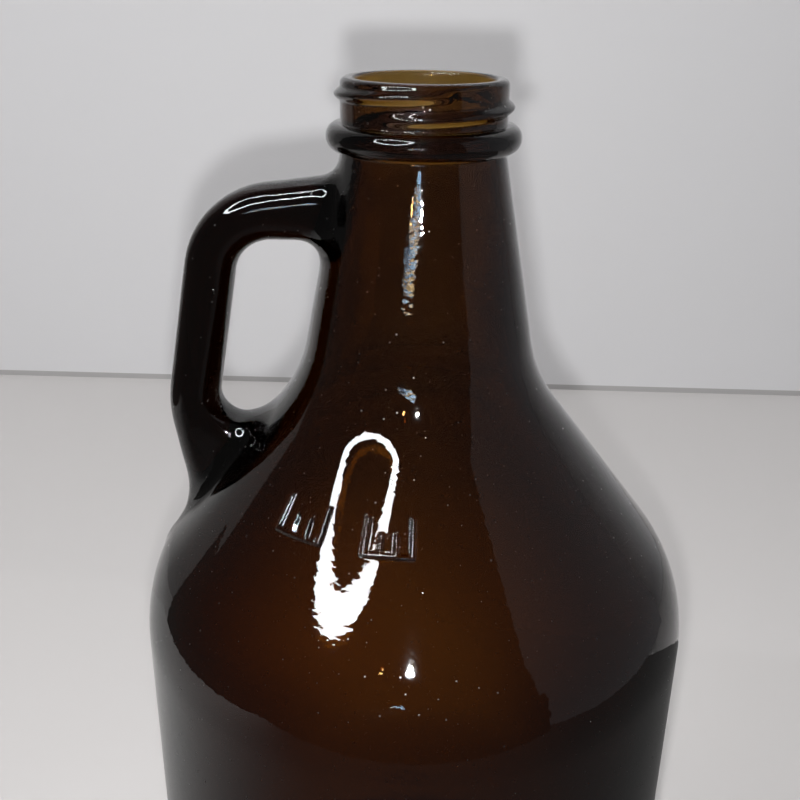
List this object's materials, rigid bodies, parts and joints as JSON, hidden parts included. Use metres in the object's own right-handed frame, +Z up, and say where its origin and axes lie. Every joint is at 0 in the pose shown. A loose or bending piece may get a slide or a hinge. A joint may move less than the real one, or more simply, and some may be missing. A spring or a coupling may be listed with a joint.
{
  "type": "growler",
  "caption": "Handled amber glass jug with a screw neck for carrying and keeping draught beer, with its ribbed screw cap and cone liner lying beside it.",
  "frame": {"origin": "on the jug's axis, in the plane that the jug stands on", "axes": "+Z up along the jug's axis; -X towards the handle; -Y towards the front"},
  "size_m": [0.152, 0.15, 0.266],
  "materials": {
    "amber_glass": "clear glossy amber container glass",
    "black_plastic": "moulded, satin",
    "liner_plastic": "natural polythene, waxy"
  },
  "bodies": {
    "jug": {"glass_jug": "amber_glass"},
    "cap": {"cap_shell": "black_plastic"},
    "liner": {"cap_liner": "liner_plastic"}
  },
  "joints": [
    {"name": "cap_lift", "type": "slide", "parent": "jug", "child": "cap", "axis": [0, 0, 1], "range_m": [0, 0.3]},
    {"name": "liner_lift", "type": "slide", "parent": "cap", "child": "liner", "axis": [0, 0, 1], "range_m": [0, 0.03]}
  ]
}
